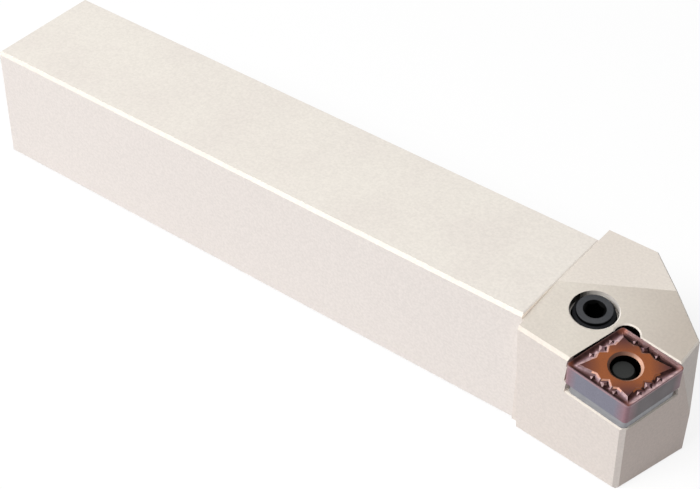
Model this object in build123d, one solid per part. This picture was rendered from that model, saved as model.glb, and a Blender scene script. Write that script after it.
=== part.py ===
from build123d import *
import math
import os

# Lever-lock turning tool holder: a square shank, a head cut at the angles of an
# 80 degree rhombic insert, and the clamp inside the head.  All sizes are millimetres.
# X runs along the shank towards the head and Z is up.  The origin is the middle of
# the shank's bottom face, which is the face that the tool rests on.

# Shank
shank_length = 125.0          # back end to the step where the head starts
shank_width = 25.0
shank_height = 25.0
shank_chamfer = 0.6

# Cutting tip: the sharp corner of the insert's upper edges
tip_reach = 23.7              # in front of the step
tip_overhang = 4.6            # outside the shank's near side
tip_below_top = 3.3           # below the shank's top
front_edge_angle = 15.0       # front edge of the insert, from square across the shank
axial_tilt = 6.0              # the seat falls towards the front edge
radial_tilt = 6.0             # the seat falls towards the side edge

# Head
head_drop = 0.25              # far half of the head's top, below the shank's top
far_overhang = 3.6            # outside the shank's far side
far_straight = 9.8            # length of the far side before the diagonal
diagonal_angle = 41.7
diagonal_lean = 1.5
near_face_angle = 4.8         # near face, from the shank's direction
near_setback = 1.03           # behind the insert's side edge, at the seat's height
near_lean = 1.5
front_face_angle = 15.8
front_setback = 0.99          # behind the insert's front edge
step_run = 1.8                # the near face starts this far in front of the step
step_lean = 3.4
facet_start = 11.15           # crease of the sloping top, from the near side, at the step
facet_angle = 30.8
facet_slope = 4.5
cheek_tilt = 5.0              # cut that turns the front face beside the insert
cheek_turn = 0.5
corner_facet = 0.7
ridge_chamfer = 0.55
head_chamfer = 0.3
base_chamfer = 0.3
step_bevel = 0.2              # broken edge of the shank's top at the step

# Insert
insert_circle = 12.7          # inscribed circle
insert_thickness = 4.76
insert_corner = 80.0
insert_nose = 0.8
insert_bore = 5.16
insert_bore_chamfer = 0.45

# Chip breaker: a groove round a star-shaped table, on both faces of the insert
breaker_depth = 0.3
breaker_slope = 35.0           # of the groove's outer side, from upright
land_width = 0.3              # flat behind the cutting edge
table_inset = 1.58            # from the insert's side to the table's flank
notch_spacing = 2.35
notch_shift = 0.95            # middle notch, from the side's middle to its blunt corner
notch_half_width = 0.8
small_notch = 0.5
middle_notch = 0.85

# Shim and its spring sleeve
shim_thickness = 2.38
shim_inset = 0.45
shim_nose = 1.0
shim_gap = 0.05               # between the shim and the foot of the pocket's walls
sleeve_diameter = 6.6
sleeve_bore = 5.2
sleeve_slit = 1.0
sleeve_below_shim_top = 0.2

# Pocket
wall_gap = 0.05
wall_relief = 0.25            # the back wall stands clear above the contact
wall_contact_depth = 1.5      # top of the contact, below the insert's upper face
foot_below_insert = 0.1       # top of the walls' foot beside the shim
relief_radius = 2.2
relief_from_back_wall = 1.7
relief_from_side_wall = 0.9
relief_extra_depth = 0.4
rim_chamfer = 0.25

# Lever
post_below_top = 1.5          # top of the post, below the insert's upper face
post_top_radius = 1.77
post_bulge_radius = 2.1
post_neck_radius = 1.75
post_taper = 0.6              # heights of the post's parts, from its top
post_bulge_end = 1.4
post_neck_start = 2.8
knee_taper = 1.2
knee_gap = 0.3                # between the knee and its bore
heel_gap = 0.03               # under the round heel
arm_width = 4.0
arm_thickness = 2.6
lever_lean = 2.2              # clamped, the post leans towards the screw
pivot_depth = 13.0            # below the insert's upper face
arm_above_pivot = 0.5
fork_radius = 3.5
fork_gap = 0.25

# Lever screw
screw_from_back_wall = 5.73   # behind the pocket's back wall
screw_from_bore = 4.33        # sideways from the insert's bore
screw_diameter = 8.0
screw_fit = 0.05
screw_proud = 0.05
screw_end_radius = 3.2        # of the reduced end
screw_end_bevel = 0.1
screw_end_height = 0.7
screw_plain_radius = 3.7      # of the plain part above the thread
screw_shoulder = 0.15
screw_thread_depth = 1.5      # from the screw's top to its thread
groove_clearance = 0.3        # above and below the lever's fork
groove_radius = 2.4
collar_height = 2.4
collar_radius = 3.7
socket_flats = 3.0
socket_depth = 4.5
socket_mouth_radius = 2.05
mouth_radius = 4.26           # of the plain recess round the screw's top
mouth_depth = 2.0
mouth_bevel = 0.12

# Passage for the lever, milled from below
passage_radius = 4.2
passage_roof_gap = 0.9        # above the lever's arm
ledge_width = 2.5             # kept under the front of the lever's heel

# Derived sizes and places
step_x = shank_length / 2
near_y = -shank_width / 2
far_y = shank_width / 2
head_top = shank_height - head_drop
tip_height = shank_height - tip_below_top
tip = Vector(step_x + tip_reach, near_y - tip_overhang, tip_height)
seat = Pos(tip) * Rot(0, 0, -front_edge_angle) * Rot(0, axial_tilt, 0) * Rot(radial_tilt, 0, 0)
seat_depth = insert_thickness + shim_thickness
skew = math.radians(90 - insert_corner)
insert_side = insert_circle / math.cos(skew)
bore_x = -insert_circle / 2
bore_y = insert_side * (1 - math.sin(skew)) / 2
screw_x = -insert_circle - wall_gap - screw_from_back_wall
screw_y = bore_y + screw_from_bore
arm_length = math.hypot(screw_x - bore_x, screw_y - bore_y)
arm_angle = math.degrees(math.atan2(screw_y - bore_y, screw_x - bore_x))
arm_depth = pivot_depth - arm_above_pivot
fork_drop = arm_length * math.sin(math.radians(lever_lean))
groove_depth = pivot_depth - arm_above_pivot + fork_drop
groove_height = arm_thickness + 2 * groove_clearance
knee_radius = sleeve_diameter / 2 - knee_gap
heel_depth = pivot_depth + knee_radius
passage_roof = arm_depth - arm_thickness / 2 - passage_roof_gap


def at(x, y, z):
    """Place of a point given in the seat's own directions, from the cutting tip."""
    return (seat * Pos(x, y, z)).position


def heading(angle, lift=0.0):
    """Unit direction at a plan angle, tipped up by lift degrees."""
    level = math.cos(math.radians(lift))
    x = math.cos(math.radians(angle)) * level
    y = math.sin(math.radians(angle)) * level
    return Vector(x, y, math.sin(math.radians(lift)))


def beyond(point, normal):
    """A large block on the outer side of a plane, for trimming."""
    size = 2 * (shank_length + shank_height)
    return Plane(origin=point, z_dir=normal) * Pos(0, 0, size / 2) * Box(size, size, size)


def insert_corners(inset):
    """Corners of the insert's outline in the seat's plane, moved in by inset."""
    side = insert_side
    corners = [(0, 0), (0, side)]
    corners.append((-insert_circle, side - side * math.sin(skew)))
    corners.append((-insert_circle, -side * math.sin(skew)))
    scale = 1 - 2 * inset / insert_circle
    return [(bore_x + (x - bore_x) * scale, bore_y + (y - bore_y) * scale) for x, y in corners]


def rhombus(inset, nose):
    """Face of the insert's outline, moved in by inset, corners rounded."""
    face = make_face(Polyline(*insert_corners(inset), close=True))
    return fillet(face.vertices(), nose)


def turned(outline):
    """Solid of revolution about the seat's normal from (radius, height) points."""
    return revolve(make_face(Polyline(*[(r, 0, z) for r, z in outline], close=True)), Axis.Z)


def facet_plane():
    """Point and normal of the sloping near half of the head's top."""
    point = Vector(step_x, near_y + facet_start, head_top)
    return point, heading(facet_angle - 90, 90 - facet_slope)


def facet_height(x, y):
    """Height of the sloping top along the seat's normal, above a place in the seat."""
    point, normal = facet_plane()
    foot = at(x, y, 0)
    up = at(x, y, 1) - foot
    return (point - foot).dot(normal) / up.dot(normal)


def make_shank():
    body = Pos(0, 0, shank_height / 2) * Box(shank_length, shank_width, shank_height)
    back = body.faces().sort_by(Axis.X)[0]
    body = chamfer(body.edges().filter_by(Axis.X) + back.edges(), shank_chamfer)
    top = Vector(0, 0, shank_height), Vector(0, 0, 1)
    step = Vector(step_x, 0, 0), Vector(1, 0, 0)
    return bevelled(body, step, top, step_bevel)


def near_plane():
    """Point and normal of the head's near face."""
    level = heading(-90 - near_face_angle)
    point = Vector(tip.X, tip.Y, tip_height - seat_depth) - level * near_setback
    return point, heading(-90 - near_face_angle, -near_lean)


def front_plane():
    """Point and normal of the head's front face."""
    normal = heading(-front_face_angle)
    return tip - normal * front_setback, normal


def cheek_plane():
    """The cut starts where the insert's front edge ends, on the front face."""
    point, normal = front_plane()
    edge = at(0, insert_side, 0)
    start = edge - normal * (edge - point).dot(normal)
    return start, heading(cheek_turn, cheek_tilt)


def diagonal_plane():
    point = Vector(step_x + far_straight, far_y + far_overhang, head_top)
    return point, heading(90 - diagonal_angle, -diagonal_lean)


def far_plane():
    return Vector(step_x, far_y + far_overhang, 0), Vector(0, 1, 0)


def top_plane():
    return Vector(step_x, 0, head_top), Vector(0, 0, 1)


def base_plane():
    return Vector(0, 0, 0), Vector(0, 0, -1)


def floor_plane():
    """Plane that the shim lies on."""
    return at(0, 0, -seat_depth), at(0, 0, 1) - tip


def side_wall_plane():
    """Plane of the pocket's wall beside the insert."""
    normal = at(-math.sin(skew), math.cos(skew), 0) - tip
    return at(0, insert_side, 0) + normal * wall_gap, normal


def bevelled(body, first, second, leg):
    """A convex body with the corner between two of its planes trimmed off."""
    (point, one), (other, two) = first, second
    turn = one.dot(two)
    corner = point + (two - one * turn) * ((other - point).dot(two) / (1 - turn * turn))
    normal = (one + two).normalized()
    return body - beyond(corner - normal * (leg * math.sqrt((1 - turn) / 2)), normal)


def shared(body, first, second):
    """Edges of a body that lie in two planes at once."""
    found = []
    for edge in body.edges():
        ends = [edge @ 0, edge @ 0.5, edge @ 1]
        off = [abs((end - point).dot(normal)) for end in ends for point, normal in (first, second)]
        if max(off) < 1e-4:
            found.append(edge)
    return found


def step_block():
    """Space beside the step, where the cutter for the shank's near side ran out."""
    foot = Vector(step_x + step_run, near_y, 0)
    outward = Align.CENTER, Align.MAX, Align.CENTER
    beside = Box(6 * step_run, shank_width, 4 * shank_height, align=outward)
    return Pos(step_x, near_y, 0) * beside & beyond(foot, heading(180, -step_lean))


def make_head():
    """The head's block, trimmed plane by plane, with its corners bevelled."""
    width = 2 * (shank_width + far_overhang)
    block = Box(2 * tip_reach, width, head_top, align=(Align.MIN, Align.MAX, Align.MIN))
    head = Pos(step_x, far_y + far_overhang, 0) * block
    head -= beyond(*near_plane())
    head -= beyond(*front_plane())
    head -= beyond(*diagonal_plane())
    head -= beyond(*facet_plane())
    head -= beyond(*cheek_plane())
    head = bevelled(head, near_plane(), front_plane(), corner_facet)
    head = bevelled(head, near_plane(), facet_plane(), ridge_chamfer)
    for side in (far_plane(), diagonal_plane(), cheek_plane()):
        head = bevelled(head, side, top_plane(), head_chamfer)
        head = bevelled(head, side, facet_plane(), head_chamfer)
    for side in (near_plane(), front_plane(), cheek_plane(), diagonal_plane(), far_plane()):
        head = bevelled(head, side, base_plane(), base_chamfer)
    return head - step_block()


def open_corner(depth, back_gap, side_gap):
    """Space above a depth, between two walls set back from the insert's sides."""
    reach = 3 * insert_side
    back = -insert_circle - back_gap
    wall = insert_side + side_gap / math.cos(skew)
    slope = math.tan(skew)
    outline = [(back, wall + back * slope), (reach, wall + reach * slope)]
    outline += [(reach, -reach), (back, -reach)]
    return Pos(0, 0, -depth) * extrude(make_face(Polyline(*outline, close=True)), amount=reach)


def pocket():
    """Space for the insert and its shim, with the relief hole in its corner."""
    foot_gap = shim_gap - shim_inset
    space = open_corner(seat_depth, foot_gap, foot_gap)
    space += open_corner(insert_thickness + foot_below_insert, wall_gap, wall_gap)
    space += open_corner(wall_contact_depth, wall_relief, wall_gap)
    depth = seat_depth + relief_extra_depth
    upward = Align.CENTER, Align.CENTER, Align.MIN
    relief = Cylinder(relief_radius, 3 * insert_side, align=upward)
    return seat * (space + Pos(*relief_place(), -depth) * relief)


def relief_place():
    """Centre of the corner's relief hole, in the seat's plane."""
    x = -insert_circle - wall_gap + relief_from_back_wall
    wall = insert_side + wall_gap / math.cos(skew) + x * math.tan(skew)
    return x, wall - relief_from_side_wall / math.cos(skew)


def bevel_pocket(body):
    """Bright bevels round the seat's open edges and along the pocket's rim."""
    x, y = relief_place()
    middle = at(x, y, facet_height(x, y))
    rim = shared(body, facet_plane(), side_wall_plane())
    for edge in shared(body, facet_plane(), facet_plane()):
        if (edge @ 0.5 - middle).length < 1.1 * relief_radius:
            rim.append(edge)
    body = chamfer(rim, rim_chamfer)
    floor = shared(body, floor_plane(), near_plane())
    floor += shared(body, floor_plane(), front_plane())
    return chamfer(floor, rim_chamfer)


def passage():
    """Slot milled from below, from beside the lever's heel to under the screw."""
    far = 2 * shank_height
    start = passage_radius + ledge_width - sleeve_diameter / 2
    length = arm_length - start
    slot = Pos(start + length / 2, 0) * SlotCenterToCenter(length, 2 * passage_radius)
    return seat * Pos(bore_x, bore_y, -far) * Rot(0, 0, arm_angle) * extrude(slot, amount=far - passage_roof)


def lever_bore():
    """Blind bore that holds the sleeve above and the lever's knee below."""
    top = Align.CENTER, Align.CENTER, Align.MAX
    return seat * Pos(bore_x, bore_y, 0) * Cylinder(sleeve_diameter / 2, heel_depth + heel_gap, align=top)


def screw_hole():
    """Threaded hole with a plain recess and a broken edge at its mouth."""
    radius = screw_diameter / 2
    level = facet_height(screw_x, screw_y)
    rim = level - mouth_bevel
    wide = mouth_radius + shank_height
    top = rim + shank_height
    outline = [(0, -pivot_depth), (radius, -pivot_depth), (radius, level - mouth_depth)]
    outline += [(mouth_radius, level - mouth_depth), (mouth_radius, rim), (wide, top), (0, top)]
    return seat * Pos(screw_x, screw_y, 0) * turned(outline)


def make_holder():
    body = make_shank() + make_head()
    body = bevel_pocket(body - pocket())
    body = body - lever_bore() - passage() - screw_hole()
    return body.solids().sort_by(SortBy.VOLUME)[-1]


def star_table():
    """Face of the raised table: the rhombus moved in, with three notches a side."""
    corners = insert_corners(table_inset)
    table = make_face(Polyline(*corners, close=True))
    half = notch_half_width
    mouth = [(-half, 0), (-half, -half), (half, -half), (half, 0)]
    for i, (x, y) in enumerate(corners):
        end_x, end_y = corners[(i + 1) % 4]
        angle = math.degrees(math.atan2(end_y - y, end_x - x))
        middle = Pos((x + end_x) / 2, (y + end_y) / 2) * Rot(0, 0, angle)
        shift = -notch_shift if i % 2 == 0 else notch_shift
        for step, deep in ((-1, small_notch), (0, middle_notch), (1, small_notch)):
            notch = make_face(Polyline(*mouth, (0, deep), close=True))
            table -= middle * Pos(shift + step * notch_spacing, 0) * notch
    return table


def breaker_groove():
    """Groove between the land behind the edge and the table."""
    around = extrude(rhombus(land_width, insert_nose), amount=-breaker_depth, taper=breaker_slope)
    return around - extrude(star_table(), amount=-2 * breaker_depth)


def make_insert():
    blank = extrude(rhombus(0, insert_nose), amount=-insert_thickness)
    radius = insert_bore / 2
    body = blank - Pos(bore_x, bore_y, 0) * Cylinder(radius, 4 * insert_thickness)
    rims = body.edges().filter_by(GeomType.CIRCLE).group_by(SortBy.LENGTH)[-1]
    body = chamfer(rims, insert_bore_chamfer)
    groove = breaker_groove()
    under = mirror(groove, about=Plane.XY.offset(-insert_thickness / 2))
    return seat * (body - groove - under)


def make_shim():
    body = Pos(0, 0, -insert_thickness) * extrude(rhombus(shim_inset, shim_nose), amount=-shim_thickness)
    return seat * (body - Pos(bore_x, bore_y, 0) * Cylinder(sleeve_diameter / 2, 4 * seat_depth))


def make_sleeve():
    top = -insert_thickness - sleeve_below_shim_top
    low = -passage_roof
    outer = sleeve_diameter / 2
    inner = sleeve_bore / 2
    ring = turned([(inner, low), (outer, low), (outer, top), (inner, top)])
    slit = Box(sleeve_diameter, sleeve_slit, 4 * pivot_depth, align=(Align.MIN, Align.CENTER, Align.CENTER))
    return seat * Pos(bore_x, bore_y, 0) * Rot(0, 0, arm_angle + 180) * (ring - slit)


def lever_post():
    """Post with a bulged top, and the knee below it with a round heel."""
    top = -post_below_top
    arm_top = -arm_depth + arm_thickness / 2
    outline = [(0, top), (post_top_radius, top), (post_bulge_radius, top - post_taper)]
    outline += [(post_bulge_radius, top - post_bulge_end)]
    outline += [(post_neck_radius, top - post_neck_start)]
    outline += [(post_neck_radius, arm_top + knee_taper), (knee_radius, arm_top)]
    outline += [(knee_radius, -heel_depth), (0, -heel_depth)]
    heel = Rot(90, 0, 0) * Cylinder(knee_radius, 4 * knee_radius)
    upward = Align.CENTER, Align.CENTER, Align.MIN
    above = Box(4 * knee_radius, 4 * knee_radius, pivot_depth, align=upward)
    return turned(outline) & Pos(0, 0, -pivot_depth) * (heel + above)


def lever_arm():
    """Arm with a fork at its end that straddles the screw's neck."""
    start = Align.MIN, Align.CENTER, Align.CENTER
    arm = Box(arm_length, arm_width, arm_thickness, align=start)
    arm += Pos(arm_length, 0, 0) * Cylinder(fork_radius, arm_thickness)
    mouth = groove_radius + fork_gap
    arm -= Pos(arm_length, 0, 0) * Cylinder(mouth, 2 * arm_thickness)
    arm -= Pos(arm_length, 0, 0) * Box(2 * fork_radius, 2 * mouth, 2 * arm_thickness, align=start)
    return Pos(0, 0, -arm_depth) * arm


def make_lever():
    """Made square to the seat, then leant about its knee."""
    body = lever_post() + lever_arm()
    leant = Pos(0, 0, -pivot_depth) * Rot(0, lever_lean, 0) * Pos(0, 0, pivot_depth) * body
    return seat * Pos(bore_x, bore_y, 0) * Rot(0, 0, arm_angle) * leant


def make_screw():
    """Reduced end, plain part, thread, neck for the fork, and collar."""
    radius = screw_diameter / 2 - screw_fit
    plain = screw_plain_radius
    end = screw_end_radius
    top = facet_height(screw_x, screw_y) + screw_proud
    shoulder = top - screw_end_height
    thread = top - screw_thread_depth
    groove_top = -groove_depth + groove_height / 2
    groove_low = groove_top - groove_height
    low = groove_low - collar_height
    outline = [(0, top), (end - screw_end_bevel, top), (end, top - screw_end_bevel)]
    outline += [(end, shoulder), (plain, shoulder - screw_shoulder), (plain, thread)]
    outline += [(radius, thread + plain - radius), (radius, groove_top)]
    outline += [(groove_radius, groove_top), (groove_radius, groove_low)]
    outline += [(collar_radius, groove_low), (collar_radius, low), (0, low)]
    body = turned(outline)
    socket = extrude(RegularPolygon(socket_flats / 2, 6, major_radius=False), amount=socket_depth)
    wide = socket_mouth_radius
    body -= Pos(0, 0, top - socket_depth) * socket
    body -= Pos(0, 0, low) * socket
    body -= turned([(0, top - wide), (wide, top), (wide, top + wide), (0, top + wide)])
    return seat * Pos(screw_x, screw_y, 0) * body


def main():
    os.makedirs("parts", exist_ok=True)
    pieces = {
        "holder_body": make_holder(),
        "insert": make_insert(),
        "shim": make_shim(),
        "shim_pin": make_sleeve(),
        "lever": make_lever(),
        "lever_screw": make_screw(),
    }
    for name, solid in pieces.items():
        export_step(solid, f"parts/{name}.step")
        print(name, round(solid.volume, 1))


main()
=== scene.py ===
# %% [markdown]
# # Lever-lock turning tool holder
# This lesson dresses a steel tool holder that clamps a coated carbide insert. The rigid
# frame comes from the CAD parts, already in place and in metres. We only add what the
# CAD leaves plain: the pressed chip breaker of the insert, and the finishes of plated
# steel, hard coating, ground carbide, black oxide and blued spring steel.

# %% Load the frame
import math

import bpy
from mathutils import Matrix, Vector


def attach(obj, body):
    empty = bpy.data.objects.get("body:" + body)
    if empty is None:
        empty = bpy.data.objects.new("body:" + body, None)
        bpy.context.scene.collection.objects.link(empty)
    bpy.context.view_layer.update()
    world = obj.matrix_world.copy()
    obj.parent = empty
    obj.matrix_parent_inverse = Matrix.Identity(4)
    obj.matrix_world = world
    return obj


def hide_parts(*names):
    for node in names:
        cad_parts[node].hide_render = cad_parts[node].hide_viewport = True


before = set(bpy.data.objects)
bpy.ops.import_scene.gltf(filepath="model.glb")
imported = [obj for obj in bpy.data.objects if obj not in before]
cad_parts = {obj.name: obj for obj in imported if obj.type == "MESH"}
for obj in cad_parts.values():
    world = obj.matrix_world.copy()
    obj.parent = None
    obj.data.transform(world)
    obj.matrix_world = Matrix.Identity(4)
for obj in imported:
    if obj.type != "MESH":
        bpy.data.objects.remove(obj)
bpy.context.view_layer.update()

print("nodes:", sorted(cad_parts))

# %% [markdown]
# Everything in the head is square to the insert's seat, which is turned and tilted so
# that the insert clears the work. We could work that out again for every piece, but one
# matrix for the seat is simpler: its first axis points out of the front cutting edge,
# its second runs along that edge, its third is the seat's normal, and its origin is the
# sharp cutting corner. Sizes are written in millimetres and scaled once, here.

# %% The seat's own directions
MM = 0.001
SHANK_LENGTH = 125.0
SHANK = 25.0                      # width and height of the shank
REACH = 23.7                      # the cutting corner, in front of the shank,
OVERHANG = 4.6                    # outside its near side
DROP = 3.3                        # and below its top
TIP = Vector((SHANK_LENGTH / 2 + REACH, -SHANK / 2 - OVERHANG, SHANK - DROP)) * MM
TURN = Matrix.Rotation(math.radians(-15), 4, "Z")
TILT = Matrix.Rotation(math.radians(6), 4, "Y") @ Matrix.Rotation(math.radians(6), 4, "X")
SEAT = Matrix.Translation(TIP) @ TURN @ TILT


def to_seat(x, y, z):
    """A point given in the seat's directions, in millimetres, as a place in the scene."""
    return SEAT @ (Vector((x, y, z)) * MM)


def seat_direction(x, y, z=0):
    """A direction given in the seat's directions, as one in the scene."""
    return SEAT.to_3x3() @ Vector((x, y, z))


SEAT_NORMAL = seat_direction(0, 0, 1).normalized()
print("seat normal:", [round(v, 4) for v in SEAT_NORMAL])

# %% [markdown]
# A small helper turns lists of points and faces into an object. Every piece that we
# build goes through it, so every piece is smooth shaded in the same way, with sharp
# edges kept where two faces meet at more than a set angle. A second helper stores
# numbers on the points, for the finishes to read.

# %% Helpers: a mesh piece and its values
SHARP = 30.0                      # degrees


def build_piece(name, points, faces, sharp=SHARP):
    mesh = bpy.data.meshes.new(name)
    mesh.from_pydata([tuple(p) for p in points], [], faces)
    mesh.validate()
    mesh.update()
    piece = bpy.data.objects.new(name, mesh)
    bpy.context.scene.collection.objects.link(piece)
    mesh.shade_smooth()
    mesh.set_sharp_from_angle(angle=math.radians(sharp))
    print(name, "points", len(mesh.vertices), "faces", len(mesh.polygons))
    return piece


def add_values(piece, name, values):
    """Store one number per point, for the finish to read."""
    layer = piece.data.attributes.new(name, "FLOAT", "POINT")
    layer.data.foreach_set("value", values)


print("edges stay sharp above", SHARP, "degrees")

# %% [markdown]
# ## The insert's outline
# The insert is an 80 degree rhombus with an inscribed circle of 12.7 mm and round
# corners. It could be a bevelled primitive, but the chip breaker needs points that
# follow both the hole and the edge. So we walk round the outline in small equal steps
# and later join each step to the hole by a straight row of points.

# %% Walk round the outline
CIRCLE = 12.7
THICK = 4.76
NOSE = 0.8                        # radius of the corners
SKEW = math.radians(10)           # an 80 degree corner leans this much from square
SIDE = CIRCLE / math.cos(SKEW)
SHIFT = SIDE * math.sin(SKEW)     # how far the rear side slides along itself
MIDDLE = Vector((-CIRCLE / 2, SIDE * (1 - math.sin(SKEW)) / 2))
CORNERS = [Vector((0, 0)), Vector((0, SIDE)),
           Vector((-CIRCLE, SIDE - SHIFT)), Vector((-CIRCLE, -SHIFT))]
STEP = 0.09
LEAST_STEPS = 6                   # round a corner


def rounded_outline(step):
    """Points round the rhombus with its corners rounded, about one step apart."""
    walk = []
    for i, corner in enumerate(CORNERS):
        ahead = CORNERS[(i + 1) % 4]
        before = (CORNERS[i - 1] - corner).normalized()
        after = (ahead - corner).normalized()
        half = before.angle(after) / 2
        setback = NOSE / math.tan(half)
        centre = corner + (before + after).normalized() * (NOSE / math.sin(half))
        start = corner + before * setback - centre
        sweep = math.pi - 2 * half
        count = max(LEAST_STEPS, round(NOSE * sweep / step * 2))
        for k in range(count + 1):
            turn = sweep * k / count
            c, s = math.cos(turn), math.sin(turn)
            walk.append(centre + Vector((start.x * c - start.y * s, start.x * s + start.y * c)))
        run_start = corner + after * setback
        run_end = ahead - after * (NOSE / math.tan(math.pi / 2 - half))
        run = run_end - run_start
        steps = round(run.length / step)
        for k in range(1, steps):
            walk.append(run_start + run * (k / steps))
    return walk


OUTLINE = rounded_outline(STEP)
around = zip(OUTLINE, OUTLINE[1:] + OUTLINE[:1])
area = sum(a.x * b.y - b.x * a.y for a, b in around) / 2
print("outline points", len(OUTLINE), "area mm2", round(area, 2))

# %% [markdown]
# ## The chip breaker
# Pressed chip breakers are landscapes: a narrow land behind the edge, a rounded groove,
# and a star-shaped table that bears on the shim when the insert is turned over. Three
# notches bite into each side of the table, and a small pyramid stands before each of
# them to curl the chip. Carved faces would come out hard and angular, so we write the
# landscape as one function of the distance from the side and the place along it.

# %% Sizes of the chip breaker
GROOVE = 0.42                     # depth of the groove, mm
LAND = 0.13                       # narrow flat behind the edge
# Where the table begins: place along the side, place inward
TABLE_LINE = [(0.0, 1.45), (2.2, 1.86), (3.6, 2.16), (4.5, 1.58), (5.65, 2.50),
              (6.8, 1.58), (7.9, 2.16), (8.8, 1.95), (11.3, 1.46), (13.0, 1.4)]
# The notches: place along the side, half width
NOTCHES = [(3.55, 0.85), (5.65, 1.1), (7.95, 0.95)]
# The pyramids: place along the side, place inward, half width, height
PYRAMIDS = [(3.5, 1.12, 0.55, 0.42), (5.65, 1.30, 0.92, 0.56), (8.0, 1.12, 0.58, 0.44)]
PYRAMID_LENGTH = 0.9              # into the groove, as a part of its width along the side
ROUNDING = 2.6                    # how tightly the groove turns its corners, per mm
FULL_WIDTH = 1.3                  # the narrowest groove that reaches its whole depth
COVER = 0.07                      # the pyramids' tops stay this far below the edge
NOTCH_BAND = 0.3                  # width of the groove that a notch tints
NOTCH_FADE = 0.2                  # length over which the tint fades
print("groove", GROOVE, "mm deep,", len(NOTCHES), "notches a side")

# %% [markdown]
# The distance to the nearest side would give the groove a sharp crease at each corner.
# A smooth minimum of the four distances rounds it. The same weights say how much each
# side counts at a point, which the finish uses to give each side its own painted sheen.


# %% Heights of the chip breaker
def along_and_in(x, y, side):
    """Distance from the side's blunt corner along it, and distance inward from it."""
    ends = [(0, 1), (2, 1), (2, 3), (0, 3)][side]
    start, end = CORNERS[ends[0]], CORNERS[ends[1]]
    way = (end - start).normalized()
    gap = Vector((x, y)) - start
    return gap.dot(way), abs(way.x * gap.y - way.y * gap.x)


def table_edge(along):
    """How far in from the side the table begins: straight runs, with three notches."""
    for (start, first), (end, last) in zip(TABLE_LINE, TABLE_LINE[1:]):
        if along <= end:
            return first + (last - first) * (along - start) / (end - start)
    return TABLE_LINE[-1][1]


def chip_height(x, y):
    """Depth below the edge, nearness of a notch, gap to the side, weight of each side."""
    places = [along_and_in(x, y, side) for side in range(4)]
    nearest = min(inward for _, inward in places)
    pulls = [math.exp(-ROUNDING * inward) for _, inward in places]
    weights = [pull / sum(pulls) for pull in pulls]
    gap = max(0.0, -math.log(sum(pulls)) / ROUNDING)
    to_table = max(table_edge(along) - inward for along, inward in places)
    if to_table <= 0 or gap <= LAND:
        return 0.0, 0.0, nearest, weights
    notch, peak = 0.0, 0.0
    for along, inward in places:
        if 0 < table_edge(along) - inward < NOTCH_BAND:
            for centre, half in NOTCHES:
                notch = max(notch, min(1.0, (half - abs(along - centre)) / NOTCH_FADE))
        for centre, place, half, high in PYRAMIDS:
            out = abs(inward - place) / (half * PYRAMID_LENGTH)
            peak = max(peak, high * (1 - abs(along - centre) / half - out))
    width = gap - LAND + to_table
    bowl = math.sin(math.pi * (gap - LAND) / width) * min(1.0, width / FULL_WIDTH)
    return max(min(COVER, GROOVE * bowl), GROOVE * bowl - peak), notch, nearest, weights


for inward in (3.3, 5.4, 6.3):
    spot = MIDDLE + Vector((inward, 0))
    print("height at", [round(v, 2) for v in spot], round(-chip_height(*spot)[0], 3))

# %% [markdown]
# ## The insert as one piece
# Rows of points run from the hole to the outline over the top, down the ground sides
# and back under, because the real insert has the same breaker on both faces. The rows
# stop a few hundredths short of the outline, which hones the edge. They lie close
# together over the breaker and wide apart on the flat table, which needs few.

# %% Rows over one face
BORE = 2.58                       # radius
BORE_BEVEL = 0.45
BORE_RIM = BORE + BORE_BEVEL
HONE = 0.045
BREAKER = 3.1                     # width of the band that holds the breaker
LEAST_TABLE = 0.2                 # of flat table beside the hole
TABLE_ROWS = 7
BREAKER_ROWS = 52


def face_rows():
    """For one face: rows of (place, depth, notch, gap, weights), fine over the breaker."""
    rows = []
    for j in range(TABLE_ROWS + BREAKER_ROWS):
        row = []
        for p in OUTLINE:
            ray = p - MIDDLE
            outer = ray.length - HONE
            turn = max(BORE_RIM + LEAST_TABLE, outer - BREAKER)
            if j < TABLE_ROWS:
                reach = BORE_RIM + (turn - BORE_RIM) * j / TABLE_ROWS
            else:
                reach = turn + (outer - turn) * (j - TABLE_ROWS) / (BREAKER_ROWS - 1)
            spot = MIDDLE + ray.normalized() * reach
            row.append((spot, *chip_height(spot.x, spot.y)))
        rows.append(row)
    return rows


ROWS = face_rows()
print("rows", len(ROWS), "deepest", round(max(spot[1] for row in ROWS for spot in row), 3), "mm")

# %% [markdown]
# Now the rows are joined into one closed skin. Each point also keeps what the coating
# will want to know there: its depth, how near it lies to a notch, the edge, a corner and
# the hole, and the painted sheen of its side. Painting by these values puts the colours
# exactly on the form, which noise alone could not do.

# %% Build the insert
RIM_SHEEN_TONES = [0.60, 0.50, 0.0, 1.0]       # how pale each side's edge is painted, a painted reflection
NOTCH_SHEEN_TONES = [0.05, 0.6, 1.0, 1.0]      # how pink each side's notches are painted, a painted reflection
PAINTED_SHEENS = [0.8, -0.7, 1.0, 0.2]           # and how far each side's groove is painted paler, a painted sheen
FAR = 3.0                                # the hole's wall is further than this from any edge
NEAR_EDGE = 0.35                         # rows down the ground sides, below the edge
SIDE_LEVELS = [-HONE, -NEAR_EDGE, -THICK * 0.3, -THICK * 0.5, -THICK * 0.7,
               -THICK + NEAR_EDGE, -THICK + HONE]
WALL_START = BORE_BEVEL * 1.15           # depth at which the hole's painted shade starts
INSERT_SHARP = 24
MARKS = ("depth", "notch", "rim", "pink", "painted_sheen", "edge_gap", "corner_gap", "bore", "level")


def shared_tone(weights, tones):
    return sum(w * t for w, t in zip(weights, tones))


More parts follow.
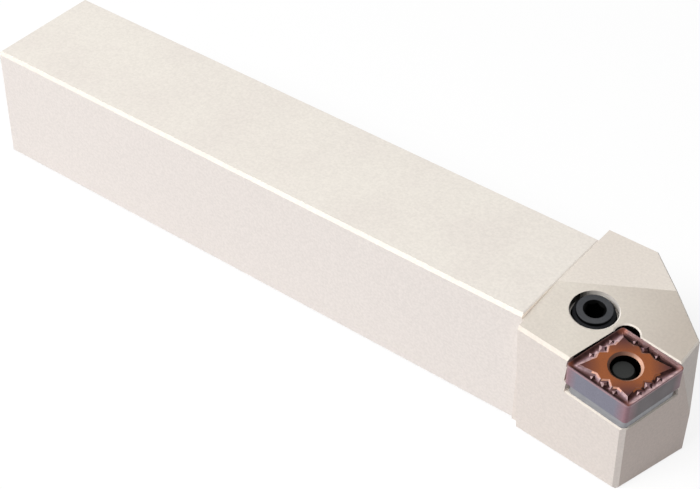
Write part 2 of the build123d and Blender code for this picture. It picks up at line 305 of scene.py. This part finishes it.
def build_insert():
    count = len(OUTLINE)
    rings = []
    marks = {name: [] for name in MARKS}

    def ring(points, row=None, gap=0.0, bore=0.0):
        """One closed row of points at (x, y, z), with the values kept on them."""
        rings.append(points)
        for p, spot in zip(points, row or [(None, 0.0, 0.0, gap, [0.0] * 4)] * count):
            _, depth, notch, edge_gap, weights = spot
            marks["depth"].append(depth)
            marks["notch"].append(notch)
            marks["rim"].append(shared_tone(weights, RIM_SHEEN_TONES))
            marks["pink"].append(shared_tone(weights, NOTCH_SHEEN_TONES))
            marks["painted_sheen"].append(shared_tone(weights, PAINTED_SHEENS))
            marks["edge_gap"].append(edge_gap)
            marks["corner_gap"].append(min((Vector(p[:2]) - corner).length for corner in CORNERS))
            marks["bore"].append(bore)
            marks["level"].append(p[2])

    def bore_ring(z, bore):
        spots = [MIDDLE + (p - MIDDLE).normalized() * BORE for p in OUTLINE]
        ring([(s.x, s.y, z) for s in spots], gap=FAR, bore=bore)

    for row in ROWS:
        ring([(spot[0].x, spot[0].y, -spot[1]) for spot in row], row)
    for z in SIDE_LEVELS:
        ring([(p.x, p.y, z) for p in OUTLINE])
    for row in reversed(ROWS):
        ring([(spot[0].x, spot[0].y, spot[1] - THICK) for spot in row], row)
    bore_ring(-THICK + BORE_BEVEL, 0.0)
    bore_ring(-THICK + WALL_START, 1.0)
    bore_ring(-WALL_START, 1.0)
    bore_ring(-BORE_BEVEL, 0.0)
    total = len(rings)
    faces = []
    for j in range(total):
        n = (j + 1) % total
        for i in range(count):
            k = (i + 1) % count
            faces.append((j * count + i, n * count + i, n * count + k, j * count + k))
    points = [to_seat(*p) for one in rings for p in one]
    piece = build_piece("insert_with_chip_breaker", points, faces, INSERT_SHARP)
    for name, values in marks.items():
        add_values(piece, name, values)
    return piece


insert = build_insert()
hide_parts("insert")
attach(insert, "cutting_insert")

# %% [markdown]
# ## Finishes
# Colours are written as the values one would read off the part, from 0 to 255, and
# turned into the linear numbers that a renderer mixes. A finish starts as a material
# with its own shader, and the CAD's nodes wear it by their slots, so their meshes stay
# as they are.


# %% Helpers: colours and materials
def paint(red, green, blue):
    """A colour from 0 to 255, as the linear numbers that a shader takes."""
    def linear(v):
        v = v / 255
        return v / 12.92 if v <= 0.04045 else ((v + 0.055) / 1.055) ** 2.4
    return (linear(red), linear(green), linear(blue), 1.0)


def new_material(name, metallic, roughness):
    material = bpy.data.materials.new(name)
    material.use_nodes = True
    shader = material.node_tree.nodes["Principled BSDF"]
    shader.inputs["Metallic"].default_value = metallic
    shader.inputs["Roughness"].default_value = roughness
    return material, material.node_tree, shader


def wear(node_name, material):
    """Give a CAD node a finish by its material slots, leaving its mesh alone."""
    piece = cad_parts[node_name]
    if not piece.material_slots:
        piece.data.materials.append(material)
    for place in piece.material_slots:
        place.material = material
    print(node_name, "wears", material.name)


print("middle grey is", round(paint(128, 128, 128)[0], 3), "of white's light")

# %% [markdown]
# ### Grain
# Blasting, grinding and coating all leave a fine unevenness, only of different size.
# One node group makes it: fine noise for the grain and slow noise for the clouds that
# plating and heat leave. An image would repeat and stretch, while noise fits any size.
# Each finish sets its own scale, so the group is built once.


# %% Shared group: grain and clouds
def build_grain_group():
    group = bpy.data.node_groups.new("grain_and_clouds", "ShaderNodeTree")
    face = group.interface
    for name, value in (("Grain Scale", 3000.0), ("Cloud Scale", 90.0), ("Stretch X", 1.0)):
        socket = face.new_socket(name, in_out="INPUT", socket_type="NodeSocketFloat")
        socket.default_value = value
    for name in ("Grain", "Clouds"):
        face.new_socket(name, in_out="OUTPUT", socket_type="NodeSocketFloat")
    nodes, links = group.nodes, group.links
    start = nodes.new("NodeGroupInput")
    end = nodes.new("NodeGroupOutput")
    place = nodes.new("ShaderNodeTexCoord")
    squeeze = nodes.new("ShaderNodeCombineXYZ")
    squeeze.inputs["Y"].default_value = 1.0
    squeeze.inputs["Z"].default_value = 1.0
    links.new(start.outputs["Stretch X"], squeeze.inputs["X"])
    stretch = nodes.new("ShaderNodeVectorMath")
    stretch.operation = "MULTIPLY"
    links.new(place.outputs["Object"], stretch.inputs[0])
    links.new(squeeze.outputs["Vector"], stretch.inputs[1])
    for output, scale, detail in (("Grain", "Grain Scale", 3.0), ("Clouds", "Cloud Scale", 2.0)):
        noise = nodes.new("ShaderNodeTexNoise")
        noise.inputs["Detail"].default_value = detail
        links.new(stretch.outputs["Vector"], noise.inputs["Vector"])
        links.new(start.outputs[scale], noise.inputs["Scale"])
        links.new(noise.outputs["Fac"], end.inputs[output])
    return group


GRAIN = build_grain_group()


def add_grain(tree, grain, clouds, stretch=1.0):
    """The group in a material, and its two outputs: grain and clouds."""
    node = tree.nodes.new("ShaderNodeGroup")
    node.node_tree = GRAIN
    node.inputs["Grain Scale"].default_value = grain
    node.inputs["Cloud Scale"].default_value = clouds
    node.inputs["Stretch X"].default_value = stretch
    return node.outputs["Grain"], node.outputs["Clouds"]


print("group outputs:", [s.name for s in GRAIN.interface.items_tree if s.in_out == "OUTPUT"])

# %% [markdown]
# Node trees are long when each node is written out. A few small helpers keep them
# readable: a value remapped between two limits, noise spread between two values, two
# colours mixed by a mask, a sum, a value read from the mesh, and a bump.


# %% Helpers: remap, mix, calculate, bump
def remap(tree, source, low, high, to_low=0.0, to_high=1.0):
    node = tree.nodes.new("ShaderNodeMapRange")
    node.inputs["From Min"].default_value = low
    node.inputs["From Max"].default_value = high
    node.inputs["To Min"].default_value = to_low
    node.inputs["To Max"].default_value = to_high
    tree.links.new(source, node.inputs["Value"])
    return node.outputs["Result"]


def spread(tree, noise, to_low, to_high):
    """Stretch noise, which lies mostly between 0.3 and 0.7, between two values."""
    return remap(tree, noise, 0.3, 0.7, to_low, to_high)


def blend_colours(tree, mask, first, second, mode="MIX"):
    """Mix two colours; each may be a colour or the output of another node."""
    node = tree.nodes.new("ShaderNodeMix")
    node.data_type = "RGBA"
    node.blend_type = mode
    tree.links.new(mask, node.inputs["Factor"])
    for value, socket in ((first, node.inputs[6]), (second, node.inputs[7])):
        if isinstance(value, tuple):
            socket.default_value = value
        else:
            tree.links.new(value, socket)
    return node.outputs[2]


def calculate(tree, operation, first, second):
    """Arithmetic on two values; each may be a number or the output of another node."""
    node = tree.nodes.new("ShaderNodeMath")
    node.operation = operation
    for value, socket in ((first, node.inputs[0]), (second, node.inputs[1])):
        if isinstance(value, (int, float)):
            socket.default_value = value
        else:
            tree.links.new(value, socket)
    return node.outputs["Value"]


def both(tree, first, second):
    return calculate(tree, "MULTIPLY", first, second)


def either(tree, first, second):
    return calculate(tree, "MAXIMUM", first, second)


def read_value(tree, name):
    node = tree.nodes.new("ShaderNodeAttribute")
    node.attribute_name = name
    return node.outputs["Fac"]


def bump(tree, shader, height, strength, distance):
    node = tree.nodes.new("ShaderNodeBump")
    node.inputs["Strength"].default_value = strength
    node.inputs["Distance"].default_value = distance
    tree.links.new(height, node.inputs["Height"])
    tree.links.new(node.outputs["Normal"], shader.inputs["Normal"])


print("helpers:", [f.__name__ for f in (remap, spread, blend_colours, calculate, bump)])

# %% [markdown]
# ### Masks
# A mask says where a finish changes. It could be painted on the mesh by hand, but the
# CAD's meshes stay as they are, so the masks here ask two questions that hold for any
# mesh: which way does the surface face, and how far along a direction does it lie.


# %% Helpers: masks by direction and by place
def facing(tree, direction, low, high):
    """Mask of the surface that faces a direction, within limits on the cosine."""
    shape = tree.nodes.new("ShaderNodeNewGeometry")
    dot = tree.nodes.new("ShaderNodeVectorMath")
    dot.operation = "DOT_PRODUCT"
    dot.inputs[1].default_value = tuple(direction)
    tree.links.new(shape.outputs["True Normal"], dot.inputs[0])
    return remap(tree, dot.outputs["Value"], low, high)


def measure(tree, direction, start):
    """Distance in millimetres along a direction of the scene, from a starting place."""
    place = tree.nodes.new("ShaderNodeTexCoord")
    dot = tree.nodes.new("ShaderNodeVectorMath")
    dot.operation = "DOT_PRODUCT"
    dot.inputs[1].default_value = tuple(direction / MM)
    tree.links.new(place.outputs["Object"], dot.inputs[0])
    return calculate(tree, "SUBTRACT", dot.outputs["Value"], start.dot(direction) / MM)


def round_hole(tree, x, y, radius):
    """Mask of what lies within a radius of an axis that is square to the seat."""
    middle = to_seat(x, y, 0)
    offsets = [measure(tree, axis, middle) for axis in (seat_direction(1, 0), seat_direction(0, 1))]
    squares = [calculate(tree, "POWER", offset, 2.0) for offset in offsets]
    outside, inside = (radius + 0.05) ** 2, (radius - 0.02) ** 2
    return remap(tree, calculate(tree, "ADD", *squares), outside, inside)


UP, DOWN, FORWARD = Vector((0, 0, 1)), Vector((0, 0, -1)), Vector((1, 0, 0))
SLOPE_HEADING = math.radians(-59.2)      # the head's top slopes down towards this heading
SLOPE_TILT = math.radians(4.5)
SLOPE = Vector((math.cos(SLOPE_HEADING) * math.sin(SLOPE_TILT),
                math.sin(SLOPE_HEADING) * math.sin(SLOPE_TILT), math.cos(SLOPE_TILT)))
print("the slope faces", [round(v, 3) for v in SLOPE])

# %% [markdown]
# ### Places in the head
# The recess of the screw, the relief in the pocket's corner and the slit behind the
# insert are deep and narrow, and little light leaves them. Pale plating would still glow
# there, from light that its walls pass to each other, so shade is painted on these
# places, on the pocket's back wall and on the shaded side of the screw's recess, in a
# near-black colour. Their axes are square to the seat, so they are written in its
# directions.

# %% Masks of the deep places
SCREW_AXIS = (-18.48, 9.658)
RELIEF_AXIS = (-11.05, 10.08)
HEAD_DROP = 0.25                  # the head's top lies this far below the shank's
SLOPE_EDGE = 11.15                # where the slope starts at the step, from the near side
SLOPE_START = Vector((SHANK_LENGTH / 2, -SHANK / 2 + SLOPE_EDGE, SHANK - HEAD_DROP)) * MM
HOLE_REACH = 4.3                  # radii that take in the walls of each place
MOUTH_REACH = 4.4
RELIEF_REACH = 2.25


def screw_mouth(tree, below):
    """The recess round the screw's top, below its rim."""
    return both(tree, round_hole(tree, *SCREW_AXIS, MOUTH_REACH), remap(tree, below, -0.02, -0.06))


def painted_shade_on_back_wall(tree):
    """The pocket's back wall, clear of its open end, which gets painted shade."""
    wall = facing(tree, seat_direction(1, 0), 0.99, 0.999)
    behind = remap(tree, measure(tree, seat_direction(1, 0), to_seat(-CIRCLE + 0.3, 0, 0)), 0.1, -0.1)
    inner = remap(tree, measure(tree, seat_direction(0, 1), to_seat(0, -0.6, 0)), 0.0, 0.6)
    return both(tree, both(tree, wall, behind), inner)


def painted_shade_of_deep_places(tree, below, mouth):
    """All that gets painted shade: the screw's hole, the relief, the slit, the mouth's shaded side."""
    hole = both(tree, round_hole(tree, *SCREW_AXIS, HOLE_REACH), remap(tree, below, -1.5, -2.3))
    relief = both(tree, round_hole(tree, *RELIEF_AXIS, RELIEF_REACH), remap(tree, below, -0.2, -0.4))
    shade = both(tree, mouth, facing(tree, seat_direction(0.8, 0.6), 0.35, 0.75))
    inside = either(tree, either(tree, hole, relief), painted_shade_on_back_wall(tree))
    return either(tree, inside, shade)


print("screw axis at", [round(v / MM, 2) for v in to_seat(*SCREW_AXIS, 0)], "mm")

# %% [markdown]
# ### Plated steel
# The holder is blasted, then plated with nickel: a pale, warm satin with a fine grain.
# Painted light and shade sit on it: upright faces are painted a little lighter and
# rosier, and the front of the head, the chamfer of the near edge and faces turned to the
# floor darker, for how the lamps fall on them. The sloping top beside the insert is
# milled smoother and darker, and a painted reflection darkens it more towards its front.
# The recess round the screw's top and the small step to the head are painted light, and
# the deep places painted as shade. Separate materials would need the CAD's faces sorted
# into slots, and its meshes stay as they are, so one material with masks does it all.

# %% Finish: plated steel
RIDGE = Vector((0, -0.7071, 0.7071))             # the chamfer of the shank's near edge
FRONT_FACE = Vector((0.962, -0.272, 0))          # below the insert
TOWARDS_THE_EDGE = seat_direction(0.8, 0.6).normalized()
PLATE_METAL, PAINTED_LIGHT_AND_SHADE_METAL = 0.12, 0.95             # metallic, of the plating and where shade and light are painted


def painted_light_by_face(tree, colour):
    """Painted light and shade on each kind of face: upright lighter, front, near chamfer and foot
    darker.
    """
    # upright faces painted a little lighter and rosier: painted light
    upright = facing(tree, UP, 0.6, 0.3)
    colour = blend_colours(tree, upright, colour, paint(237, 229, 224))
    # the near edge's chamfer painted a little darker, to calm its highlight
    ridge = facing(tree, RIDGE, 0.97, 0.99)
    colour = blend_colours(tree, ridge, colour, paint(238, 237, 235), "MULTIPLY")
    # the front of the head painted a little darker: painted shade
    front = facing(tree, FRONT_FACE, 0.97, 0.99)
    colour = blend_colours(tree, front, colour, paint(249, 243, 241), "MULTIPLY")
    # faces turned to the floor painted darker: painted shade
    foot = facing(tree, DOWN, 0.4, 0.6)
    return blend_colours(tree, foot, colour, paint(172, 162, 154))


def milled_tone_and_painted_sheen(tree, milled, colour):
    """Darker on the milled slope, and a painted reflection darkens it from the screw towards the front.
    """
    forward = measure(tree, TOWARDS_THE_EDGE, to_seat(*SCREW_AXIS, 0))
    along = remap(tree, forward, -4.0, 16.0)
    # a painted reflection: lighter near the screw, darker towards the front
    cut = blend_colours(tree, along, paint(245, 245, 243), paint(212, 208, 204))
    return blend_colours(tree, milled, colour, cut, "MULTIPLY")


def plated_steel():
    material, tree, shader = new_material("plated_steel", PLATE_METAL, 0.5)
    grain, clouds = add_grain(tree, grain=2100.0, clouds=70.0)
    pale, warm = paint(235, 229, 220), paint(231, 224, 216)
    colour = blend_colours(tree, remap(tree, clouds, 0.35, 0.65), pale, warm)
    colour = painted_light_by_face(tree, colour)
    from_step = measure(tree, FORWARD, FORWARD * SHANK_LENGTH / 2 * MM)
    on_head = remap(tree, from_step, 0.0, 0.05)
    colour = blend_colours(tree, on_head, colour, paint(250, 248, 246), "MULTIPLY")
    milled = facing(tree, SLOPE, 0.9990, 0.9996)
    colour = milled_tone_and_painted_sheen(tree, milled, colour)
    speck = spread(tree, grain, 0.0, 0.13)
    colour = blend_colours(tree, speck, colour, paint(124, 116, 108))
    below = measure(tree, SLOPE, SLOPE_START)
    mouth = screw_mouth(tree, below)
    # the recess round the screw's top is painted lighter: painted light
    colour = blend_colours(tree, mouth, colour, paint(255, 248, 240))
    painted_shade = painted_shade_of_deep_places(tree, below, mouth)
    # painted shade: the deep places near black, and set to metal below
    colour = blend_colours(tree, painted_shade, colour, paint(24, 19, 17))
    # the small step face to the head is painted light and set to metal: a painted highlight where it
    # would be in shade
    step = both(tree, facing(tree, FORWARD, 0.6, 0.9), remap(tree, from_step, 0.5, 0.3))
    colour = blend_colours(tree, step, colour, paint(255, 246, 238))
    tree.links.new(colour, shader.inputs["Base Color"])
    metal = remap(tree, either(tree, painted_shade, step), 0.0, 1.0, PLATE_METAL, PAINTED_LIGHT_AND_SHADE_METAL)
    tree.links.new(metal, shader.inputs["Metallic"])
    tree.links.new(remap(tree, milled, 0.0, 1.0, 0.52, 0.38), shader.inputs["Roughness"])
    bump(tree, shader, grain, strength=0.35, distance=0.02 * MM)
    return material


wear("holder_body", plated_steel())

# %% [markdown]
# ### Hard coating
# The coating is copper-brown on the open table and dusky at the table's tips. In the
# groove it runs from near black through brown and lilac to a pale pink, and the bevel of
# the hole from brown to pale: both are painted light and shade. A real film changes
# colour with its thickness and with the light that reaches it. Instead of working that
# out, a ladder of colours follows the way that the wall leans, pale where it turns
# towards the lamps and dark where it turns away, and stays on the form from every side.
# Each side's groove, edge and notches also get a painted sheen of their own. The ground
# sides are blue-grey, painted lighter where they turn towards the lamps, with a mauve
# blush at the corners and along the edges.

# %% Helpers: painted light that follows the lean
PAINTED_LIGHT_WAY = seat_direction(-0.85, -0.527).normalized()    # walls leaning this way, towards the lamps, are painted palest


def painted_light_by_lean(tree, lean, steps):
    """Painted light and shade: colours that follow one another as the lean grows; each step is (cosine,
    colour).
    """
    colour = steps[0][1]
    for (low, _), (high, following) in zip(steps, steps[1:]):
        mask = remap(tree, lean, (low + 1) / 2, (high + 1) / 2)
        colour = blend_colours(tree, mask, colour, following)
    return colour


def ground_side(tree):
    """Mask of the insert's ground sides, which have no distance from the edge."""
    return remap(tree, read_value(tree, "edge_gap"), 0.012, 0.002)


print("the palest walls lean to", [round(v, 2) for v in PAINTED_LIGHT_WAY])

# %% [markdown]
# The coat is put together from four parts, each a short function: the flat table with
# the bevel of its hole, the groove, the edge round it, and the ground sides. Written as
# one tree it would be the same nodes, only harder to follow and to tune.

# %% Colours of the coat
BEVEL_LIGHT_STEPS = [(-0.4, paint(96, 66, 54)), (0.1, paint(150, 108, 88)), (0.6, paint(222, 174, 150))]
GROOVE_LIGHT_STEPS = [(-0.45, paint(20, 8, 7)), (-0.15, paint(40, 20, 18)), (0.05, paint(84, 54, 52)),
                (0.30, paint(132, 103, 110)), (0.6, paint(214, 182, 182))]
SIDE_SHARE = 0.13                 # how much a side's painted sheen counts beside the lean


def table_colour(tree, lean, corner):
    copper, dusk = paint(144, 80, 42), paint(70, 38, 42)
    table = blend_colours(tree, remap(tree, corner, 6.0, 2.5), copper, dusk)
    # the bevel of the hole is painted light and shade by its lean
    bevel = painted_light_by_lean(tree, lean, BEVEL_LIGHT_STEPS)
    return blend_colours(tree, facing(tree, SEAT_NORMAL, 0.97, 0.90), table, bevel)


def groove_colour(tree, turned):
    # the groove painted light and shade by its lean and its side's painted sheen
    groove = painted_light_by_lean(tree, turned, GROOVE_LIGHT_STEPS)
    clouds = add_grain(tree, grain=900.0, clouds=1300.0)[1]
    patches = remap(tree, clouds, 0.4, 0.62, to_low=0.45, to_high=0.0)
    groove = blend_colours(tree, patches, groove, paint(70, 42, 40))
    # round the notches: copper, painted pink on sides where they catch the light
    glow = blend_colours(tree, read_value(tree, "pink"), paint(140, 78, 40), paint(216, 160, 136))
    at_notch = remap(tree, read_value(tree, "notch"), 0.3, 0.8, to_high=0.75)
    return blend_colours(tree, at_notch, groove, glow)


def edge_colour(tree, inner, corner):
    """The land, browner at the corners, and the line of the edge itself, painted paler or darker side
    by side as a painted reflection.
    """
    at_corner = remap(tree, corner, 1.7, 0.9, to_high=0.6)
    land = blend_colours(tree, at_corner, inner, paint(136, 78, 60))
    line = blend_colours(tree, read_value(tree, "rim"), paint(62, 38, 36), paint(146, 120, 128))
    return blend_colours(tree, remap(tree, read_value(tree, "edge_gap"), 0.22, 0.10), land, line)


def side_colour(tree, lean, corner):
    # sides turned towards the lamps painted lighter and bluer: painted light
    lit_side = remap(tree, lean, 0.45, 0.7)
    blue = blend_colours(tree, lit_side, paint(104, 95, 99), paint(134, 134, 150))
    side = blend_colours(tree, remap(tree, corner, 2.6, 0.6), blue, paint(160, 122, 132))
    near_edge = remap(tree, read_value(tree, "level"), -0.5, -0.1)
    return blend_colours(tree, near_edge, side, paint(184, 148, 152))


print("steps of the groove's colours:", len(GROOVE_LIGHT_STEPS))

# %% [markdown]
# The film reflects little white light, so its specular level is low. The walls painted
# as shaded and the hole's wall painted dark are set to metal, because a dark metal mirrors
# next to nothing of a white room, while a dark paint would still shine pale.

# %% Finish: coated carbide
COAT_METAL, WALL_METAL = 0.1, 0.95


def coated_carbide():
    material, tree, shader = new_material("coated_carbide", COAT_METAL, 0.3)
    shader.inputs["Specular IOR Level"].default_value = 0.22
    grain, clouds = add_grain(tree, grain=3500.0, clouds=260.0)
    corner = read_value(tree, "corner_gap")
    bore = read_value(tree, "bore")
    # lean towards the lamps, plus each side's painted sheen, sets the painted light
    lean = facing(tree, PAINTED_LIGHT_WAY, -1.0, 1.0)
    turned = calculate(tree, "ADD", lean, both(tree, read_value(tree, "painted_sheen"), SIDE_SHARE))
    in_groove = remap(tree, read_value(tree, "depth"), 0.0, 0.05)
    face = blend_colours(tree, in_groove, table_colour(tree, lean, corner), groove_colour(tree, turned))
    face = edge_colour(tree, face, corner)
    # the hole's wall is painted near black: painted shade
    face = blend_colours(tree, bore, face, paint(14, 11, 11))
    colour = blend_colours(tree, ground_side(tree), face, side_colour(tree, lean, corner))
    speck = remap(tree, grain, 0.35, 0.7, to_high=0.16)
    colour = blend_colours(tree, speck, colour, paint(70, 46, 44))
    tree.links.new(colour, shader.inputs["Base Color"])
    shaded = both(tree, remap(tree, turned, 0.55, 0.35), in_groove)
    metal = remap(tree, either(tree, shaded, bore), 0.0, 1.0, COAT_METAL, WALL_METAL)
    tree.links.new(metal, shader.inputs["Metallic"])
    tree.links.new(spread(tree, clouds, 0.28, 0.42), shader.inputs["Roughness"])
    bump(tree, shader, grain, strength=0.25, distance=0.01 * MM)
    return material


insert.data.materials.append(coated_carbide())
print("coated:", insert.material_slots[0].material.name)

# %% [markdown]
# ### Ground carbide
# The shim is bare carbide, ground on a wheel that leaves fine lines one way. Real lines
# would need thousands of grooves, so the grain is stretched along the shank instead.


# %% Finish: ground carbide
def ground_carbide():
    material, tree, shader = new_material("bare_carbide", 0.45, 0.42)
    grain, clouds = add_grain(tree, grain=2200.0, clouds=160.0, stretch=0.25)
    colour = blend_colours(tree, clouds, paint(142, 144, 150), paint(166, 166, 170))
    colour = blend_colours(tree, spread(tree, grain, 0.0, 0.25), colour, paint(96, 96, 100))
    tree.links.new(colour, shader.inputs["Base Color"])
    tree.links.new(spread(tree, grain, 0.36, 0.5), shader.inputs["Roughness"])
    bump(tree, shader, grain, strength=0.2, distance=0.01 * MM)
    return material


wear("shim", ground_carbide())

# %% [markdown]
# ### Black oxide and spring steel
# The screw and the lever are hardened steel with a black oxide skin, duller on the
# lever, and the spring sleeve under the shim is blued. They differ only in tone and
# gloss, so one function makes all three. The screw's top is a worn grey ring, and all
# that lies deeper is painted as shade, blackest in its hexagon socket.

# %% Finish: dark steels
SLOPE_AT_SCREW = -0.347           # height of the slope at the screw's axis, above the seat
SCREW_TOP = SLOPE_AT_SCREW + 0.05
SOCKET = (*SCREW_AXIS, 2.1)       # axis and radius
SKIN_METAL = 0.1
GLOSS_SPREAD = 0.08


def darken_screw(tree, shader, colour):
    """Paint shade on what lies below the screw's top face, and near black in its socket."""
    under = remap(tree, measure(tree, SEAT_NORMAL, to_seat(0, 0, SCREW_TOP)), -0.01, -0.06)
    inside = both(tree, round_hole(tree, *SOCKET), under)
    # painted shade below the screw's top, near black in its socket
    colour = blend_colours(tree, both(tree, under, 0.75), colour, paint(8, 8, 9))
    tree.links.new(remap(tree, under, 0.0, 1.0, SKIN_METAL, PAINTED_LIGHT_AND_SHADE_METAL), shader.inputs["Metallic"])
    return blend_colours(tree, inside, colour, paint(3, 3, 3))


def dark_steel(name, dark, worn, roughness, has_socket=False):
    material, tree, shader = new_material(name, SKIN_METAL, roughness)
    shader.inputs["Specular IOR Level"].default_value = 0.3
    grain, clouds = add_grain(tree, grain=2800.0, clouds=300.0)
    colour = blend_colours(tree, clouds, dark, worn)
    colour = blend_colours(tree, spread(tree, grain, 0.0, 0.3), colour, paint(24, 24, 25))
    if has_socket:
        colour = darken_screw(tree, shader, colour)
    tree.links.new(colour, shader.inputs["Base Color"])
    rough = spread(tree, clouds, roughness - GLOSS_SPREAD, roughness + GLOSS_SPREAD)
    tree.links.new(rough, shader.inputs["Roughness"])
    bump(tree, shader, grain, strength=0.2, distance=0.01 * MM)
    return material


wear("lever_screw", dark_steel("black_oxide", paint(42, 45, 51), paint(66, 66, 68), 0.42, True))
wear("lever", dark_steel("lever_steel", paint(20, 21, 21), paint(38, 40, 38), 0.5))
wear("shim_pin", dark_steel("blued_spring_steel", paint(58, 62, 72), paint(92, 94, 100), 0.4))

# %% [markdown]
# ## Floor and world
# The holder lies on a pale floor. A lamp strong enough to make the floor white would
# burn out the plated steel. So the floor and the world are white to the camera and to
# reflections, and calmer as a source of light. A part of the floor's light stays real,
# and keeps the holder's shadow.

# %% Floor and world
FLOOR_SIZE = 3.0                  # metres from its middle
FLOOR_GLOW = 0.85                 # the share of the floor that is plain white
SKY_LEVEL = 0.155                 # soft light from all round, as a part of white
WHITE = (1, 1, 1, 1)


def build_floor():
    size = FLOOR_SIZE
    corners = [(-size, -size, 0), (size, -size, 0), (size, size, 0), (-size, size, 0)]
    floor = build_piece("studio_floor", corners, [(0, 1, 2, 3)])
    material, tree, shader = new_material("studio_floor", 0.0, 0.9)
    clouds = add_grain(tree, grain=60.0, clouds=4.0)[1]
    colour = blend_colours(tree, clouds, paint(190, 190, 190), paint(186, 186, 186))
    glow = tree.nodes.new("ShaderNodeEmission")
    glow.inputs["Color"].default_value = WHITE
    glow.inputs["Strength"].default_value = 1.0
    path = tree.nodes.new("ShaderNodeLightPath")
    seen = either(tree, path.outputs["Is Camera Ray"], path.outputs["Is Glossy Ray"])
    tree.links.new(blend_colours(tree, seen, colour, paint(255, 255, 255)), shader.inputs["Base Color"])
    mix = tree.nodes.new("ShaderNodeMixShader")
    tree.links.new(both(tree, seen, FLOOR_GLOW), mix.inputs["Fac"])
    tree.links.new(shader.outputs["BSDF"], mix.inputs[1])
    tree.links.new(glow.outputs["Emission"], mix.inputs[2])
    tree.links.new(mix.outputs["Shader"], tree.nodes["Material Output"].inputs["Surface"])
    floor.data.materials.append(material)


def build_world():
    world = bpy.data.worlds.new("studio_world")
    bpy.context.scene.world = world
    world.use_nodes = True
    tree = world.node_tree
    sky = tree.nodes["Background"]
    sky.inputs["Color"].default_value = WHITE
    path = tree.nodes.new("ShaderNodeLightPath")
    seen = either(tree, path.outputs["Is Camera Ray"], path.outputs["Is Glossy Ray"])
    seen = either(tree, seen, path.outputs["Is Transmission Ray"])
    tree.links.new(remap(tree, seen, 0.0, 1.0, SKY_LEVEL, 1.0), sky.inputs["Strength"])
    print(world.name, "lights the holder at", SKY_LEVEL)


build_floor()
build_world()

# %% [markdown]
# ## Lamps
# Plain soft light suits satin steel: small lamps would leave hard spots on it. A large
# lamp stands above and beside the long side, with a second by the back end and a weak
# third overhead. So the top and the side are about equally bright, the edge between
# them is brighter than both, and the front of the head falls into calm shade.

# %% Lamps
AIM = Vector((0.02, 0.0, 0.01))   # metres
LAMP_SIZE = 0.40


def soft_lamp(name, place, power):
    lamp = bpy.data.lights.new(name, "AREA")
    lamp.shape = "SQUARE"
    lamp.size = LAMP_SIZE
    lamp.energy = power
    stand = bpy.data.objects.new(name, lamp)
    stand.location = place
    stand.rotation_euler = (AIM - Vector(place)).to_track_quat("-Z", "Y").to_euler()
    bpy.context.scene.collection.objects.link(stand)
    print(name, "at", place, "W", power)


soft_lamp("key_softbox", (-0.14, -0.62, 0.77), 6.9)
soft_lamp("side_softbox", (-0.50, -0.50, 0.54), 2.7)
soft_lamp("top_softbox", (0.10, 0.0, 1.0), 1.8)

# %% [markdown]
# ## Camera
# The camera looks down on the near side and the cutting head, a little less than
# square to the shank. It could be aimed at a point, but that leaves its roll open, so
# its place and its three axes are written out, in the object's frame.

# %% Camera
CAMERA_PLACE = Vector((0.167743, -0.200400, 0.224426))
CAMERA_RIGHT = Vector((0.793870, 0.608011, 0.009635))
CAMERA_UP = Vector((-0.403266, 0.514546, 0.756716))
CAMERA_BACK = Vector((0.455134, -0.604620, 0.653672))
SENSOR, LENS = 36.0, 89.734       # millimetres


def build_camera():
    data = bpy.data.cameras.new("camera")
    data.sensor_width = SENSOR
    data.lens = LENS
    data.clip_start = 0.01
    camera = bpy.data.objects.new("camera", data)
    axes = Matrix((CAMERA_RIGHT, CAMERA_UP, CAMERA_BACK)).transposed().to_4x4()
    camera.matrix_world = Matrix.Translation(CAMERA_PLACE) @ axes
    bpy.context.scene.collection.objects.link(camera)
    bpy.context.scene.camera = camera
    print("camera", round(CAMERA_PLACE.length, 3), "m from the shank's middle")


build_camera()
bpy.context.scene.view_settings.view_transform = "Standard"
